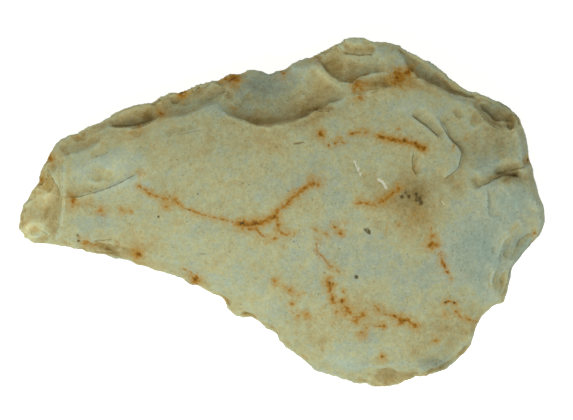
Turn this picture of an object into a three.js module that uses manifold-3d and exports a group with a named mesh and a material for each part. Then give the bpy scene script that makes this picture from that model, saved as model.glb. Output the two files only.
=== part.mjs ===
// Stone hand axe: a flat-faced, pear-shaped biface of chert, lying on its back.
// Millimetres, +Z up. The origin is on the resting plane, under the middle of the
// outline; +X points to the broad butt, -X to the blunt tip.

import * as THREE from 'three';
import { mergeVertices } from 'three/addons/utils/BufferGeometryUtils.js';
import Module from 'manifold-3d';

const wasm = await Module();
wasm.setup();

const LENGTH = 150;                // tip to butt
const WIDTH = 100;                 // widest, across the butt
const THICKNESS = 31;              // resting facet to the crown of the visible face
const CROWN = { x: 12, y: 4 };     // thickest place, seen from above
const EDGE_HEIGHT = 17.5;          // mean height of the sharp edge over the resting plane
const EDGE_RISE = 1.4;             // the edge stands this much higher at the butt than at the tip
const EDGE_WAVE = { height: 0.7, count: 3, phase: 0.6 };   // slow up and down of the edge on its way round
const TAPER = { tip: 92, butt: 74 };   // from the crown to where the swell of the faces runs out
const SKEW = 0.12;                 // shift of the highest line to +Y, as a share of the half width
const TAPER_POWER = 1.7;           // 1 would make the swell a cone, 2 a parabola
const FACE_RIM = { drop: 2.1, run: 1.3 };   // steep strip round the nearly flat visible face
const BACK_RIM = { drop: 2.0, run: 1.5 };   // the same round the rounder underside
const BACK_SINK = 1.0;             // how far the underside would bulge below its flat facet
const SOFTENING = 10;              // the faces follow the outline averaged over this much each way
const EDGE_BLEND = 4;              // width of the strip that leads the swell down to the edge
const EDGE_LIP = { rise: 0.3, slope: 0.42, reach: 5 };   // what the flake scars leave standing at the edge
const EDGE_STEP = 2.6;             // spacing of points along the outline
const RINGS = 8;                   // rings of the blank from crown to edge
const RING_CROWDING = 1.6;         // above 1 the rings crowd towards the edge
const WEB_RINGS = 5;               // rings of the web that keeps the edge whole
const WEB_GROWTH = 1.03;           // the web reaches this much past the edge

// Corners of the knapped outline seen from above, x and y, each with the outward
// bulge of the arc that leads on to the next corner. They run anticlockwise.
const OUTLINE = {
  tip: [
    [-74.8, -4.8, 0.7], [-70.6, -9.1, -0.2],
  ],
  hollowSide: [
    [-60.0, -10.1, 0.2], [-49.8, -12.6, 0.5], [-45.2, -13.5, 0.4], [-31.5, -17.8, 0.1],
    [-28.2, -19.2, 0.7], [-23.2, -21.3, 0.0], [-16.4, -25.0, 2.2], [-8.1, -30.3, 0.3],
    [-1.5, -34.6, 0.9], [5.3, -41.4, 1.1],
  ],
  butt: [
    [15.4, -46.8, 0.7], [24.0, -48.8, 0.1], [26.4, -50.0, 0.9], [38.2, -47.2, 1.8],
    [52.2, -40.8, 0.9], [55.5, -32.8, -1.6], [63.4, -25.9, 0.2], [65.9, -16.3, -0.3],
    [73.4, -7.0, 1.7], [73.3, 4.4, -0.2], [72.1, 10.0, 0.5], [71.2, 15.0, 0.2],
    [68.8, 24.1, 0.0],
  ],
  straightSide: [
    [68.1, 26.7, 1.5], [53.2, 34.7, -0.5], [46.2, 40.2, 0.5], [36.0, 45.8, 1.4],
    [26.5, 48.2, 2.0], [15.5, 48.0, 0.0], [8.5, 44.1, 0.8], [0.7, 40.8, 0.0],
    [-3.5, 39.7, 1.1], [-11.9, 39.6, 0.7], [-17.1, 37.9, 0.5], [-28.8, 34.3, 0.9],
    [-37.1, 31.2, 1.3], [-51.3, 25.3, 0.5], [-57.5, 23.1, 1.6],
  ],
  tipCorner: [
    [-66.6, 15.0, 0.4], [-69.1, 8.5, 0.4], [-72.0, 3.6, 0.0], [-73.7, 1.8, 0.1],
  ],
};

// Flake scars of the visible face. x, y: middle of the scar. long, wide: half
// length and half width of its footprint. turn: degrees from +X to its long
// axis. deep: depth of its middle under the unbroken face. rim: 0 is a dished
// scar that fades out, 1 has upright walls.
const FACE_SCARS = [
  { name: 'great hinge scar', x: -4, y: 33.6, long: 15, wide: 11.6, turn: 2, deep: 3.0, rim: 0.42 },
  { name: 'its shallow end', x: 9, y: 34.6, long: 13.5, wide: 8.4, turn: 22, deep: 2.0, rim: 0.3 },
  { name: 'crown corner scar', x: 19.5, y: 43.6, long: 10.5, wide: 8.2, turn: 2, deep: 2.6, rim: 0.45 },
  { name: 'tan band', x: 28.5, y: 40, long: 11, wide: 6.2, turn: 10, deep: 1.3, rim: 0.3 },
  { name: 'dark bevel', x: 48, y: 42.2, long: 19, wide: 6.8, turn: -33, deep: 3.2, rim: 0.34 },
  { name: 'butt corner scar', x: 64, y: 31, long: 8, wide: 5.6, turn: -16, deep: 2.2, rim: 0.4 },
  { name: 'upper butt scar', x: 64, y: 18, long: 15, wide: 11, turn: -14, deep: 1.4, rim: 0.22 },
  { name: 'butt groove', x: 62.5, y: 9.6, long: 9, wide: 1.9, turn: 25, deep: 0.7, rim: 0.3 },
  { name: 'lower butt scar', x: 68.5, y: -7, long: 17, wide: 11.5, turn: 84, deep: 1.6, rim: 0.22 },
  { name: 'butt notch scar', x: 71, y: -12, long: 6, wide: 4, turn: 50, deep: 1.4, rim: 0.26 },
  { name: 'small butt scar', x: 66.4, y: -20, long: 5, wide: 3, turn: 80, deep: 1.2, rim: 0.26 },
  { name: 'notch scar', x: 60, y: -30.6, long: 5.5, wide: 3.8, turn: 40, deep: 1.1, rim: 0.24 },
  { name: 'heel scar', x: 52, y: -40.8, long: 9.5, wide: 4.4, turn: 52, deep: 1.2, rim: 0.22 },
  { name: 'base scar', x: 33, y: -47.6, long: 10.5, wide: 4.6, turn: 8, deep: 1.6, rim: 0.26 },
  { name: 'base scar beside it', x: 16, y: -46, long: 8, wide: 4.4, turn: -18, deep: 1.4, rim: 0.22 },
  { name: 'tip scar', x: -69.5, y: 3, long: 15, wide: 8.6, turn: 86, deep: 2.0, rim: 0.4 },
  { name: 'tip corner scar', x: -66.5, y: 12.5, long: 6.5, wide: 4.4, turn: 62, deep: 1.7, rim: 0.3 },
  { name: 'low tip scar', x: -72, y: -5, long: 5.5, wide: 4.4, turn: 40, deep: 1.4, rim: 0.3 },
  { name: 'edge scar', x: -42, y: 30, long: 8.8, wide: 5.4, turn: 12, deep: 2.1, rim: 0.5 },
  { name: 'edge scar by the tip', x: -57, y: 22.6, long: 8, wide: 4.6, turn: 20, deep: 1.5, rim: 0.25 },
  { name: 'long edge scar', x: -24, y: 35.4, long: 10.5, wide: 5.4, turn: 18, deep: 1.8, rim: 0.2 },
  { name: 'hollow side band', x: -51, y: -11.6, long: 12, wide: 3.2, turn: -12, deep: 1.3, rim: 0.4 },
  { name: 'hollow side chips', x: -29, y: -18.4, long: 9, wide: 3.2, turn: -21, deep: 1.3, rim: 0.25 },
];

// Unevenness of a scar's outline: waves round it, each with its share of the size.
const SCAR_WANDER = [{ waves: 3, share: 0.06 }, { waves: 5, share: 0.036 }];
const SCAR_FACETS = { large: 26, small: 18, back: 16 };   // round the waist of the cutting ellipsoid
const LARGE_SCAR = 13;             // a longer half length makes a large scar
const FACETS_ALONG = 0.7;          // facets from pole to pole, as a share of those round the waist

// The underside is worked by one round of flakes struck from the edge inwards.
const BACK_FLAKES = {
  count: 15,
  inset: [14, 3],                  // from the edge to the middle of the scar, and how much it varies
  long: [21, 5],                   // half length, with the same
  wide: [12.5, 3],
  deep: [2.4, 0.7],
  turn: [0, 14],                   // degrees off the way to the crown
  rim: 0.22,
};
const STRAY_ALONG_EDGE = 0.25;     // of the spacing, how far a flake may start from its even place
const AIM_ALONG = 0.6;             // below 1 the flakes aim across the stone more than along it

const STONE = { color: 0x9c9a73, roughness: 0.72, metalness: 0 };

// Points along the arc from one corner to the next, without its last point.
function arcPoints([x, y, bulge], [nextX, nextY]) {
  const run = Math.hypot(nextX - x, nextY - y);
  const outX = (nextY - y) / run;
  const outY = -(nextX - x) / run;
  const steps = Math.max(1, Math.round(run / EDGE_STEP));
  const points = [];
  for (let i = 0; i < steps; i++) {
    const s = i / steps;
    const out = 4 * bulge * s * (1 - s);
    points.push(new THREE.Vector2(x + (nextX - x) * s + outX * out, y + (nextY - y) * s + outY * out));
  }
  return points;
}

// The whole outline, scaled so that it measures LENGTH by WIDTH exactly.
function outlinePoints() {
  const corners = Object.values(OUTLINE).flat();
  const points = corners.flatMap((corner, i) => arcPoints(corner, corners[(i + 1) % corners.length]));
  const box = new THREE.Box2().setFromPoints(points);
  const size = box.getSize(new THREE.Vector2());
  const middle = box.getCenter(new THREE.Vector2());
  const scale = new THREE.Vector2(LENGTH / size.x, WIDTH / size.y);
  return points.map((point) => point.sub(middle).multiply(scale));
}

const edge = outlinePoints();

// Where the outline crosses a line of constant x, on the +Y and on the -Y side.
function crossings(x) {
  const found = edge.flatMap((point, i) => {
    const next = edge[(i + 1) % edge.length];
    const share = (x - point.x) / (next.x - point.x);
    return share >= 0 && share < 1 ? [point.y + (next.y - point.y) * share] : [];
  });
  return [Math.max(...found), Math.min(...found)];
}

// The same two sides, averaged so that single flakes don't show in the faces.
function softSides(x) {
  const limit = LENGTH / 2 - SOFTENING;
  const middle = THREE.MathUtils.clamp(x, SOFTENING - limit, limit - SOFTENING);
  const samples = [-1, -0.5, 0, 0.5, 1].map((offset) => crossings(middle + offset * SOFTENING));
  return [0, 1].map((side) => samples.reduce((sum, pair) => sum + pair[side], 0) / samples.length);
}

function distanceToEdge(x, y) {
  const place = new THREE.Vector3(x, y, 0);
  const nearest = new THREE.Vector3();
  const distances = edge.map((point, i) => {
    const next = edge[(i + 1) % edge.length];
    const side = new THREE.Line3(new THREE.Vector3(point.x, point.y, 0), new THREE.Vector3(next.x, next.y, 0));
    return side.closestPointToPoint(place, true, nearest).distanceTo(place);
  });
  return Math.min(...distances);
}

function edgeHeight(x, y) {
  const angle = Math.atan2(y - CROWN.y, x - CROWN.x);
  const wave = EDGE_WAVE.height * Math.sin(EDGE_WAVE.count * angle + EDGE_WAVE.phase);
  return EDGE_HEIGHT + (EDGE_RISE * x) / LENGTH + wave;
}

// 1 at the crown, falling to 0 at the sides and where the swell runs out.
function fullness(x, y) {
  const [high, low] = softSides(x);
  const ridge = (high + low) / 2 + (SKEW * (high - low)) / 2;
  const across = y > ridge ? (y - ridge) / (high - ridge) : (ridge - y) / (ridge - low);
  const taper = x < CROWN.x ? TAPER.tip : TAPER.butt;
  const along = Math.min(1, Math.abs(x - CROWN.x) / taper);
  return Math.max(0, 1 - across ** 2) * (1 - along ** TAPER_POWER);
}

// A face as it would be if it ran on level past its rim.
function swell(x, y, fullRise, rim) {
  const blend = Math.sin((Math.PI / 2) * Math.min(1, distanceToEdge(x, y) / EDGE_BLEND));
  return rim.drop + (fullRise - rim.drop) * fullness(x, y) * blend;
}

function rimCut(x, y, rim) {
  return rim.drop * Math.exp(-distanceToEdge(x, y) / rim.run);
}

const face = {
  outward: 1,
  level: (x, y) => edgeHeight(x, y) + swell(x, y, THICKNESS - edgeHeight(x, y), FACE_RIM),
  height: (x, y) => face.level(x, y) - rimCut(x, y, FACE_RIM),
};

const back = {
  outward: -1,
  level: (x, y) => edgeHeight(x, y) - swell(x, y, edgeHeight(x, y) + BACK_SINK, BACK_RIM),
  height: (x, y) => back.level(x, y) + rimCut(x, y, BACK_RIM),
};

// A sphere whose meridians are led to the outline points and whose upper and
// lower halves take two heights. growth widens it past the outline.
function lensGeometry(upper, lower, rings, growth) {
  const geometry = new THREE.SphereGeometry(1, edge.length, 2 * rings);
  const position = geometry.attributes.position;
  for (let row = 0; row <= 2 * rings; row++) {
    const ringsFromPole = Math.min(row, 2 * rings - row);
    const share = growth * (1 - (1 - ringsFromPole / rings) ** RING_CROWDING);
    const height = row <= rings ? upper : lower;
    for (let column = 0; column <= edge.length; column++) {
      const rim = edge[column % edge.length];
      const x = CROWN.x + (rim.x - CROWN.x) * share;
      const y = CROWN.y + (rim.y - CROWN.y) * share;
      position.setXYZ(row * (edge.length + 1) + column, x, y, height(x, y));
    }
  }
  return geometry;
}

function toSolid(geometry) {
  const bare = geometry.clone();
  bare.deleteAttribute('normal');
  bare.deleteAttribute('uv');
  const merged = mergeVertices(bare);
  return new wasm.Manifold(new wasm.Mesh({
    numProp: 3,
    vertProperties: new Float32Array(merged.attributes.position.array),
    triVerts: new Uint32Array(merged.index.array),
  }));
}

function toGeometry(solid) {
  const mesh = solid.getMesh();
  const geometry = new THREE.BufferGeometry();
  geometry.setAttribute('position', new THREE.BufferAttribute(mesh.vertProperties, 3));
  geometry.setIndex(new THREE.BufferAttribute(mesh.triVerts, 1));
  geometry.computeVertexNormals();
  return geometry;
}

// A sphere whose waist, seen along Z, wanders in and out a little. Its poles are
// on Y, so that the cap which cuts the stone has even facets.
function unevenSphere(facets, seed) {
  const geometry = new THREE.SphereGeometry(1, facets, Math.round(facets * FACETS_ALONG));
  const position = geometry.attributes.position;
  for (let i = 0; i < position.count; i++) {
    const angle = Math.atan2(position.getY(i), position.getX(i));
    const wave = ({ waves, share }, k) => share * Math.sin(waves * angle + (k + 1) * seed);
    const scale = SCAR_WANDER.map(wave).reduce((sum, value) => sum + value, 1);
    position.setX(i, position.getX(i) * scale);
    position.setY(i, position.getY(i) * scale);
  }
  return geometry;
}

// An ellipsoid sunk into a side of the blank, in the frame of that side there.
function scarSolid({ x, y, long, wide, turn, deep, rim }, side) {
  const middle = new THREE.Vector3(x, y, side.level(x, y));
  const alongX = new THREE.Vector3(1, 0, side.level(x + 1, y) - middle.z);
  const alongY = new THREE.Vector3(0, 1, side.level(x, y + 1) - middle.z);
  const normal = alongX.cross(alongY).normalize().multiplyScalar(side.outward);
  const yaw = THREE.MathUtils.degToRad(turn);
  const along = new THREE.Vector3(Math.cos(yaw), Math.sin(yaw), 0);
  along.addScaledVector(normal, -along.dot(normal)).normalize();
  const across = new THREE.Vector3().crossVectors(normal, along);
  const bowl = deep / rim;
  const spread = Math.sqrt(1 - (1 - rim) ** 2);
  const size = side === back ? 'back' : long > LARGE_SCAR ? 'large' : 'small';
  const geometry = unevenSphere(SCAR_FACETS[size], x + y);
  geometry.scale(wide / spread, long / spread, bowl);
  geometry.applyMatrix4(new THREE.Matrix4().makeBasis(across.negate(), along, normal));
  middle.addScaledVector(normal, bowl - deep);
  geometry.translate(middle.x, middle.y, middle.z);
  return toSolid(geometry);
}

// A number from 0 to 1 that looks random but is the same in every run.
function scatter(seed) {
  const value = Math.sin(seed * 127.1 + 311.7) * 43758.5453;
  return value - Math.floor(value);
}

function backScars() {
  const scars = [];
  for (let i = 0; i < BACK_FLAKES.count; i++) {
    const vary = ([mean, range], offset) => mean + range * (2 * scatter(i * 5 + offset) - 1);
    const start = vary([i + 0.5, STRAY_ALONG_EDGE], 1) / BACK_FLAKES.count;
    const rim = edge[Math.floor(edge.length * start)];
    const inward = Math.atan2(CROWN.y - rim.y, AIM_ALONG * (CROWN.x - rim.x));
    const inset = vary(BACK_FLAKES.inset, 0);
    scars.push({
      x: rim.x + inset * Math.cos(inward),
      y: rim.y + inset * Math.sin(inward),
      long: vary(BACK_FLAKES.long, 2),
      wide: vary(BACK_FLAKES.wide, 3),
      turn: THREE.MathUtils.radToDeg(inward) + vary(BACK_FLAKES.turn, 4),
      deep: vary(BACK_FLAKES.deep, 5),
      rim: BACK_FLAKES.rim,
    });
  }
  return scars;
}

function join(solids) {
  return solids.reduce((joined, solid) => joined.add(solid));
}

// All the scars of one side, less the thin web that keeps the edge whole.
function scarCutter(scars, side) {
  const lip = (x, y) => {
    const inset = EDGE_LIP.reach * (1 - Math.exp(-distanceToEdge(x, y) / EDGE_LIP.reach));
    const above = EDGE_LIP.rise + EDGE_LIP.slope * inset;
    return edgeHeight(x, y) + side.outward * above;
  };
  const far = () => EDGE_HEIGHT - side.outward * (THICKNESS + EDGE_HEIGHT);
  const [upper, lower] = side === face ? [lip, far] : [far, lip];
  const web = lensGeometry(upper, lower, WEB_RINGS, WEB_GROWTH);
  return join(scars.map((scar) => scarSolid(scar, side))).subtract(toSolid(web));
}

// Everything under the resting plane, cut away to leave the flat facet.
function floorBlock() {
  const block = new THREE.BoxGeometry(2 * LENGTH, 2 * WIDTH, THICKNESS);
  block.translate(0, 0, -THICKNESS / 2);
  return toSolid(block);
}

function handAxeGeometry() {
  const blank = toSolid(lensGeometry(face.height, back.height, RINGS, 1));
  const stone = blank
    .subtract(scarCutter(FACE_SCARS, face))
    .subtract(scarCutter(backScars(), back))
    .subtract(floorBlock());
  return toGeometry(stone);
}

const handAxe = new THREE.Mesh(handAxeGeometry(), new THREE.MeshStandardMaterial(STONE));
handAxe.name = 'hand_axe';

const part = new THREE.Group();
part.add(handAxe);

export default part;
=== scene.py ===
import itertools
import math

import bmesh
import bpy
import numpy as np
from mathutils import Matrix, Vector, kdtree


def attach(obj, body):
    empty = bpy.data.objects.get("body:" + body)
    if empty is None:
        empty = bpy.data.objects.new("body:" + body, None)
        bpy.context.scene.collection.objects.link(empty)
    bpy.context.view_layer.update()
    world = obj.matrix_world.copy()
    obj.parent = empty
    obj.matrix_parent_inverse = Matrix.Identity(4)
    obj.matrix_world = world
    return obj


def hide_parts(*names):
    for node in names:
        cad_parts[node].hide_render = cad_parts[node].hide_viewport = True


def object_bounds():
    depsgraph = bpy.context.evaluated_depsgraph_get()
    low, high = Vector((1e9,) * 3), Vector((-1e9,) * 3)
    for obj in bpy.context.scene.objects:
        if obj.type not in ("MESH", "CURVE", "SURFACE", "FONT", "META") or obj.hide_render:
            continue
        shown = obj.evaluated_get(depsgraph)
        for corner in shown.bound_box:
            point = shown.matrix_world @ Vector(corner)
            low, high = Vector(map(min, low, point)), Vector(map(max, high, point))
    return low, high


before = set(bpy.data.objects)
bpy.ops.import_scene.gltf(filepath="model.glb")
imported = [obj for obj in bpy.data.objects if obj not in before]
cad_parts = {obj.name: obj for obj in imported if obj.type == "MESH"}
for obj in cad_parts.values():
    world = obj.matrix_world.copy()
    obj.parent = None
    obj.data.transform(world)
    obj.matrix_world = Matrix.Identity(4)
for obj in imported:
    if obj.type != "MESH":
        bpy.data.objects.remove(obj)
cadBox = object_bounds()
print("frame loaded")

mm = 0.001               # places and sizes below are millimetres in the frame, x and y seen from above

stoneSizes = {
    "weld": 0.002,           # corners of the solid nearer each other than this are joined
    "voxel": 0.45,           # squares of the fine mesh
    "edgeSpacing": 0.4,      # of the points that stand for the solid's edges
    "triangles": 197000,     # the underside is thinned until this many are left
    "ridgeAngle": 9,         # degrees, from which an outward edge of the solid counts as a flake ridge
    "rimAngle": 55,          # degrees, from which it counts as the cutting edge
    "ridgeFade": (0.42, 1.4),          # nearer a ridge than this the softening fades and stops
    "softening": (45, 0.6),            # passes and share that melt the flat facets between ridges
    "lastSoftening": (1, 0.5),         # the same over everything
    "underside": -0.25,      # points that look down more than this may be thinned away,
    "undersideShare": 1000,  # and that much more readily than the others
    "seed": 7,
    "swells": [(0.28, 15), (0.12, 5), (0.07, 2.0), (0.045, 1.05)],   # height and size of the unevenness
    "wander": (0.6, 7),      # how far and over what distance ridges stray sideways
    "wanderFade": (1, 5),    # from the cutting edge, where they start to stray and stray in full
    "lip": (0.2, 1.2),       # share and width of the raised rim on the high side of a step
    "stray": [(0.3, 1.5), (0.6, 5)],   # raggedness of the steps
    "faceUp": 0.1,           # points that look up more than this belong to the visible face
    "rimReach": 4,           # the edge's direction is judged over this much each way
    "middle": (15, 0),       # the edge's inner side is the one towards this place
    "mostMove": (0.5, 0.06),           # share of the way to the edge, and at the edge itself
    # small bites out of the edge: half width, depth as a share of it, how far in they act
    "nibbles": {"count": 260, "wide": (0.5, 2.3), "bite": (0.05, 0.24), "reach": 3},
    # how a blow lands: least facing of its side, turn off the way in, raggedness; a scar is the low
    # cap of a ball capSize times as big as the scar is deep, and acts up to capReach of its radius
    "blow": {"facing": 0.25, "turn": 0.3, "stray": (0.16, 2.5), "capSize": 3, "capReach": 0.3},
    # the ground behind a step rises again from this share of its reach; steps and ridges fade at
    # their ends over these shares of their length, and rings over these millimetres
    "step": {"rise": 0.35, "fade": 0.16},
    "ridge": {"power": 1.5, "reach": 3, "fade": 0.3, "stray": 0.5},
    "ring": {"stray": (0.6, 6), "fadeIn": 3, "fadeOut": 6},
    # which noise each unevenness takes
    "cloudSeeds": {
        "swell": 1, "wanderX": 11, "wanderY": 12, "step": 21, "ring": 33,
        "chipAlong": 51, "chipAcross": 52,
    },
}

# chips knocked off along the cutting edge: inset from the edge, half length, half width, depth
chipKinds = [
    {"side": -1, "count": 34, "inset": (5, 13), "half": (7, 13), "wide": (4.5, 8), "deep": (0.5, 1.1)},
    {"side": -1, "count": 150, "inset": (0.2, 2.2), "half": (1.3, 4.2),
     "wide": (1.1, 2.8), "deep": (0.15, 0.5)},
    {"side": 1, "count": 210, "inset": (-0.1, 1.3), "half": (0.8, 2.6),
     "wide": (0.8, 2.2), "deep": (0.1, 0.34)},
]

# hinge ends, steps and split layers of the visible face: the ground left of each line lies lower by
# drop, falls there over soft and has risen again at reach
faceSteps = [
    {"line": [(-17.8, 31.5), (-16.2, 28.8), (-14.3, 26.9), (-11, 25.3), (-7, 24.5), (-3, 24.3),
              (1, 24.6), (4, 25.4), (7, 26.7), (10, 28.4), (14, 30.4), (19.5, 32.8)],
     "drop": 0.9, "soft": 0.8, "reach": 12},
    {"line": [(10, 44.5), (11.2, 41.6), (13.6, 39), (17, 37), (20.2, 36.5), (21.6, 38), (25, 38.9),
              (31, 40.2)],
     "drop": 0.95, "soft": 0.5, "reach": 7},
    {"line": [(19, 32.8), (24, 33.3), (28, 34.4), (32, 35.8)], "drop": 0.4, "soft": 0.4, "reach": 5},
    {"line": [(16.6, 45.6), (20, 44.9), (23, 44.5), (27, 44.8)], "drop": 0.45, "soft": 0.3, "reach": 3.5},
    {"line": [(15.6, 47.4), (18.2, 45)], "drop": -0.3, "soft": 0.3, "reach": 2},
    {"line": [(30.5, 47.5), (33.5, 44.2), (36.5, 41), (39, 38.2), (42, 36.3), (46, 34.5), (51, 33),
              (58, 31.4)],
     "drop": 1.0, "soft": 0.9, "reach": 7},
    {"line": [(56.4, 31.8), (57.4, 28.8), (60, 26.4), (64, 24.9), (70, 24.2)],
     "drop": 0.8, "soft": 0.5, "reach": 6},
    {"line": [(45, 33.2), (50, 31.9), (54, 30.6), (57.5, 27.8), (61, 25.4)],
     "drop": 0.35, "soft": 1.2, "reach": 5},
    {"line": [(43, 27.5), (44.6, 25.6), (46, 23.5), (47.4, 21), (49.7, 18.9), (51, 16.5), (50, 12.4),
              (47.6, 10.4), (45, 8.3)],
     "drop": 0.85, "soft": 0.35, "reach": 9},
    {"line": [(36, 28), (40, 24.9), (43, 22.4), (45.4, 20.2)], "drop": 0.55, "soft": 0.3, "reach": 4},
    {"line": [(37.5, 17), (36.9, 14.5), (37.2, 12), (38.6, 9.8)], "drop": 0.3, "soft": 0.3, "reach": 3},
    {"line": [(48.3, 28.7), (50.4, 26)], "drop": 0.35, "soft": 0.3, "reach": 2.5},
    {"line": [(-49.8, 24.1), (-45, 24.3), (-42, 24.6), (-39, 25.3), (-35.5, 26.6)],
     "drop": 0.8, "soft": 0.3, "reach": 4.5},
    {"line": [(-63, 3.7), (-57, 4.4), (-50, 6.4), (-46, 8.2), (-38, 12.4)],
     "drop": 0.5, "soft": 0.5, "reach": 8},
    {"line": [(-54, 15.2), (-50.3, 16.1), (-47.6, 17.9)], "drop": 0.25, "soft": 0.5, "reach": 4},
    {"line": [(-64.4, -9.5), (-62.8, -2), (-62, 5), (-61.9, 17)], "drop": 0.9, "soft": 0.5, "reach": 9},
    {"line": [(-61.5, 3.6), (-63.4, 6.6), (-65.4, 9.9), (-67.4, 13.6)],
     "drop": 0.5, "soft": 0.3, "reach": 5},
    {"line": [(-62, 3.6), (-66, 4.6), (-71.5, 7.4)], "drop": 0.8, "soft": 2.2, "reach": 11},
    {"line": [(-65.4, -7.2), (-68, -5.4), (-71, -3.2)], "drop": 0.4, "soft": 0.3, "reach": 4},
    {"line": [(-43, -13), (-48, -12), (-55, -10.9), (-63, -8.8)], "drop": 0.8, "soft": 0.7, "reach": 4},
    {"line": [(-58, -9.2), (-52, -10.2), (-44.5, -12.2)], "drop": 0.35, "soft": 0.4, "reach": 1.6},
    {"line": [(54, 5.9), (57, 7.1), (60, 8.8), (63, 10), (68.5, 9.6)],
     "drop": 0.9, "soft": 0.35, "reach": 5},
    {"line": [(60.5, 10.2), (65, 11.8), (71.5, 13.4)], "drop": 0.6, "soft": 0.35, "reach": 4},
    {"line": [(58.1, 7), (58.6, -2)], "drop": 0.45, "soft": 0.3, "reach": 5},
    {"line": [(57.2, -1), (56.8, -10), (56, -22)], "drop": 0.35, "soft": 1.8, "reach": 10},
    {"line": [(71, -5.6), (67.4, -7.6), (66, -10), (65.2, -14.5)], "drop": 0.8, "soft": 0.8, "reach": 5},
    {"line": [(64.5, -15), (62.6, -19), (62, -24)], "drop": 0.6, "soft": 0.9, "reach": 4},
    {"line": [(70, 12), (67, 4), (68, -4)], "drop": 0.35, "soft": 2, "reach": 6},
    {"line": [(41, -33.6), (48, -34.2), (56, -35.4)], "drop": 0.3, "soft": 1.4, "reach": 6},
    {"line": [(54.5, -36), (50.5, -39.5), (46, -42.6), (40, -45)], "drop": 0.5, "soft": 0.8, "reach": 6},
    {"line": [(40, -44.4), (33, -45), (25, -44.2), (17, -45)], "drop": 0.5, "soft": 0.7, "reach": 5},
    {"line": [(-33.5, 21), (-29.5, 22.3), (-24, 23.4)], "drop": 0.2, "soft": 0.4, "reach": 3},
    {"line": [(-24, 30), (-20, 31), (-15, 35.5)], "drop": 0.35, "soft": 0.5, "reach": 4},
    {"line": [(8.5, 28), (12, 28.3), (15.5, 28.9)], "drop": 0.35, "soft": 0.25, "reach": 2},
    {"line": [(-60, 20.5), (-52, 22.6), (-47, 25.2)], "drop": 0.4, "soft": 0.8, "reach": 4},
    {"line": [(-36, 28.6), (-27, 30.4), (-20, 34.6)], "drop": 0.4, "soft": 0.9, "reach": 4},
]

# ridges left standing between scars: rise, half width, line; a rise below 0 is a groove
faceRidges = [
    (0.55, 0.9, [(7.5, 43.5), (10, 40.6), (13, 37.6), (17, 35.3), (20, 34.6)]),
    (0.25, 0.5, [(2.6, 42.8), (4.6, 39)]),
    (0.3, 0.4, [(58, 6.8), (58.4, -1.8)]),
    (0.2, 0.5, [(-61.6, 15), (-61.4, 5), (-62, -3)]),
    (0.2, 0.6, [(66.5, -6.5), (65.2, -10), (64.6, -14)]),
    (-0.35, 0.7, [(-56.5, -9.4), (-50, -10.7), (-43, -12.4)]),
    (-0.5, 0.5, [(-57.8, -6), (-57.2, -9)]),
    (-0.25, 0.25, [(3, 19), (6.8, 19.8)]),
    (-0.2, 0.3, [(-23.4, -11.8), (-21.4, -11.8)]),
    (-0.3, 0.4, [(-41.5, -15.1), (-36.5, -16.2)]),
    (-0.3, 0.4, [(-31, -18.2), (-28.5, -19)]),
    (-0.2, 0.4, [(20.6, 14.3), (22.4, 10.2)]),
    (-0.2, 0.4, [(27.3, 9.2), (28.8, 8.2), (29.6, 6.6)]),
    (-0.2, 0.35, [(61.4, 7.1), (64.8, 4.4)]),
]

# rings that a blow leaves in its scar: where it struck, how far they run, height and spacing
strikeRings = [
    {"struck": (-3, 44), "from": 5, "to": 19, "height": 0.06, "spacing": 3.4},
    {"struck": (24, 55), "from": 7, "to": 17, "height": 0.07, "spacing": 2.4},
    {"struck": (80, 17), "from": 8, "to": 30, "height": 0.06, "spacing": 3.8},
    {"struck": (76, -34), "from": 8, "to": 26, "height": 0.05, "spacing": 4.4},
    {"struck": (-80, 6), "from": 6, "to": 18, "height": 0.06, "spacing": 3.0},
    {"struck": (48, 46), "from": 3, "to": 12, "height": 0.05, "spacing": 2.2},
]


def copyOfSolid(node):
    mesh = bmesh.new()
    mesh.from_mesh(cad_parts[node].data)
    bmesh.ops.remove_doubles(mesh, verts=mesh.verts, dist=stoneSizes["weld"] * mm)
    bmesh.ops.recalc_face_normals(mesh, faces=mesh.faces)
    return mesh


def edgePoints(mesh, lowAngle):
    # points along every outward edge of the solid that is sharper than lowAngle
    points = []
    for edge in mesh.edges:
        if edge.calc_face_angle_signed(0) > math.radians(lowAngle):
            start, end = edge.verts[0].co, edge.verts[1].co
            steps = max(1, math.ceil((end - start).length / (stoneSizes["edgeSpacing"] * mm)))
            points += [start.lerp(end, i / steps) for i in range(steps + 1)]
    return np.array(points) / mm


def treeOf(places):
    tree = kdtree.KDTree(len(places))
    for i, place in enumerate(places):
        tree.insert(place, i)
    tree.balance()
    return tree


def nearestOf(places, targets):
    # which target lies nearest to each place, and how far away
    tree = treeOf(targets)
    found = [tree.find(place)[1:] for place in places]
    indices, distances = zip(*found)
    return np.array(indices), np.array(distances)


def smoothRamp(values, low, high):
    share = np.clip((values - low) / (high - low), 0, 1)
    return share * share * (3 - 2 * share)


def readPoints(mesh):
    points = np.empty(len(mesh.vertices) * 3, np.float32)
    mesh.vertices.foreach_get("co", points)
    return points.reshape(-1, 3).astype(float) / mm


def writePoints(mesh, points):
    mesh.vertices.foreach_set("co", (points * mm).astype(np.float32).ravel())
    mesh.update()


def readNormals(mesh):
    normals = np.empty(len(mesh.vertices) * 3, np.float32)
    mesh.vertex_normals.foreach_get("vector", normals)
    return normals.reshape(-1, 3).astype(float)


def soften(mesh, points, passes, share):
    # moves each point towards the middle of its neighbours by its own share
    edges = np.empty(len(mesh.edges) * 2, np.int32)
    mesh.edges.foreach_get("vertices", edges)
    first, second = edges.reshape(-1, 2).T
    count = np.bincount(first, minlength=len(points)) + np.bincount(second, minlength=len(points))
    for _ in range(passes):
        for axis in range(3):
            column = points[:, axis]
            total = np.bincount(first, column[second], len(points))
            total += np.bincount(second, column[first], len(points))
            points[:, axis] = column + share * (total / count - column)
    return points


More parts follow.
